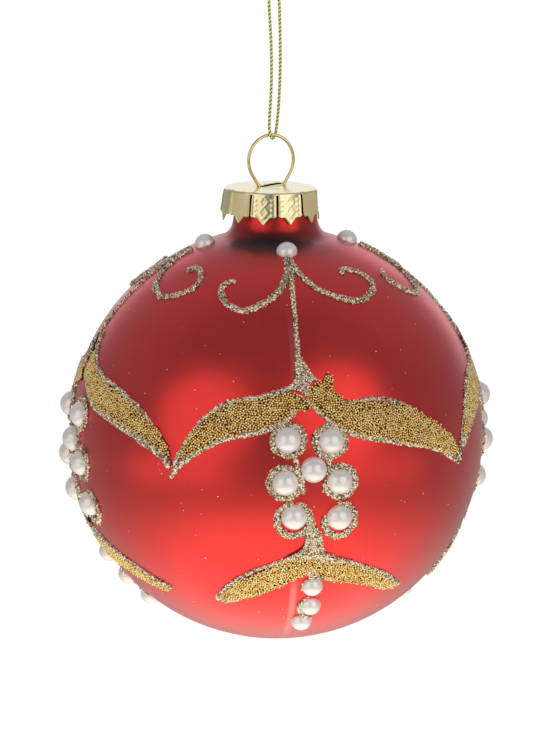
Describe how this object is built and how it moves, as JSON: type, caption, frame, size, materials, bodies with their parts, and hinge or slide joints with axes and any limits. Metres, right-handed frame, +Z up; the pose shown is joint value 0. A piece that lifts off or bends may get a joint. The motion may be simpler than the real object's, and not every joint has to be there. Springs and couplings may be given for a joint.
{
  "type": "glass ball ornament",
  "caption": "Hollow glass Christmas ball with pearl and bead decoration, a petalled metal cap, a sprung wire hanger and a cord loop to hang it by.",
  "frame": {"origin": "inside the top of the cord loop, just under the knot, where a hook holds the ornament", "axes": "+Z up along the ball's axis; the motif in front faces -Y, turned 9 degrees towards +X"},
  "size_m": [0.0846, 0.085, 0.132],
  "materials": {
    "red_glass": "satin red lacquer over a silvered lining, soft metallic sheen",
    "cap_gold": "pale champagne gold, embossed thin sheet, bright",
    "hanger_gold": "gold-plated spring wire, bright",
    "cord_gold": "two plies of metallised thread, twisted",
    "gold_beads": "antique-gold glass micro-beads, glued close together",
    "glitter_glue": "coarse champagne and silver glitter in clear glue",
    "pearl": "pearlescent ivory with a pink cast, satin gloss"
  },
  "bodies": {
    "cord": {"hanging_cord": "cord_gold", "cord_knot": "cord_gold"},
    "hanger": {"wire_hanger": "hanger_gold"},
    "cap": {"cap": "cap_gold"},
    "ball": {"glass_ball": "red_glass", "upper_bead_band": "gold_beads", "lower_bead_swag_front": "gold_beads", "lower_bead_swag_right": "gold_beads", "lower_bead_swag_back": "gold_beads", "lower_bead_swag_left": "gold_beads", "glitter_lines_front": "glitter_glue", "glitter_lines_right": "glitter_glue", "glitter_lines_back": "glitter_glue", "glitter_lines_left": "glitter_glue", "pearl_front_top": "pearl", "pearl_front_upper_left": "pearl", "pearl_front_upper_right": "pearl", "pearl_front_centre": "pearl", "pearl_front_middle_left": "pearl", "pearl_front_middle_right": "pearl", "pearl_front_lower_left": "pearl", "pearl_front_lower_right": "pearl", "pearl_front_tail_upper": "pearl", "pearl_front_tail_middle": "pearl", "pearl_front_tail_lower": "pearl", "pearl_right_top": "pearl", "pearl_right_upper_left": "pearl", "pearl_right_upper_right": "pearl", "pearl_right_centre": "pearl", "pearl_right_middle_left": "pearl", "pearl_right_middle_right": "pearl", "pearl_right_lower_left": "pearl", "pearl_right_lower_right": "pearl", "pearl_right_tail_upper": "pearl", "pearl_right_tail_middle": "pearl", "pearl_right_tail_lower": "pearl", "pearl_back_top": "pearl", "pearl_back_upper_left": "pearl", "pearl_back_upper_right": "pearl", "pearl_back_centre": "pearl", "pearl_back_middle_left": "pearl", "pearl_back_middle_right": "pearl", "pearl_back_lower_left": "pearl", "pearl_back_lower_right": "pearl", "pearl_back_tail_upper": "pearl", "pearl_back_tail_middle": "pearl", "pearl_back_tail_lower": "pearl", "pearl_left_top": "pearl", "pearl_left_upper_left": "pearl", "pearl_left_upper_right": "pearl", "pearl_left_centre": "pearl", "pearl_left_middle_left": "pearl", "pearl_left_middle_right": "pearl", "pearl_left_lower_left": "pearl", "pearl_left_lower_right": "pearl", "pearl_left_tail_upper": "pearl", "pearl_left_tail_middle": "pearl", "pearl_left_tail_lower": "pearl"}
  },
  "joints": [
    {"name": "ring_swing", "type": "hinge", "parent": "cord", "child": "hanger", "pos_m": [-0.00075, -0.00027, -0.0274], "axis": [0.9397, 0.342, 0], "range_deg": [-60, 60]},
    {"name": "wire_slide", "type": "slide", "parent": "hanger", "child": "cap", "axis": [0, 0, -1], "range_m": [0, 0.0025]},
    {"name": "cap_pull", "type": "slide", "parent": "cap", "child": "ball", "axis": [0, 0, -1], "range_m": [0, 0.022]}
  ]
}
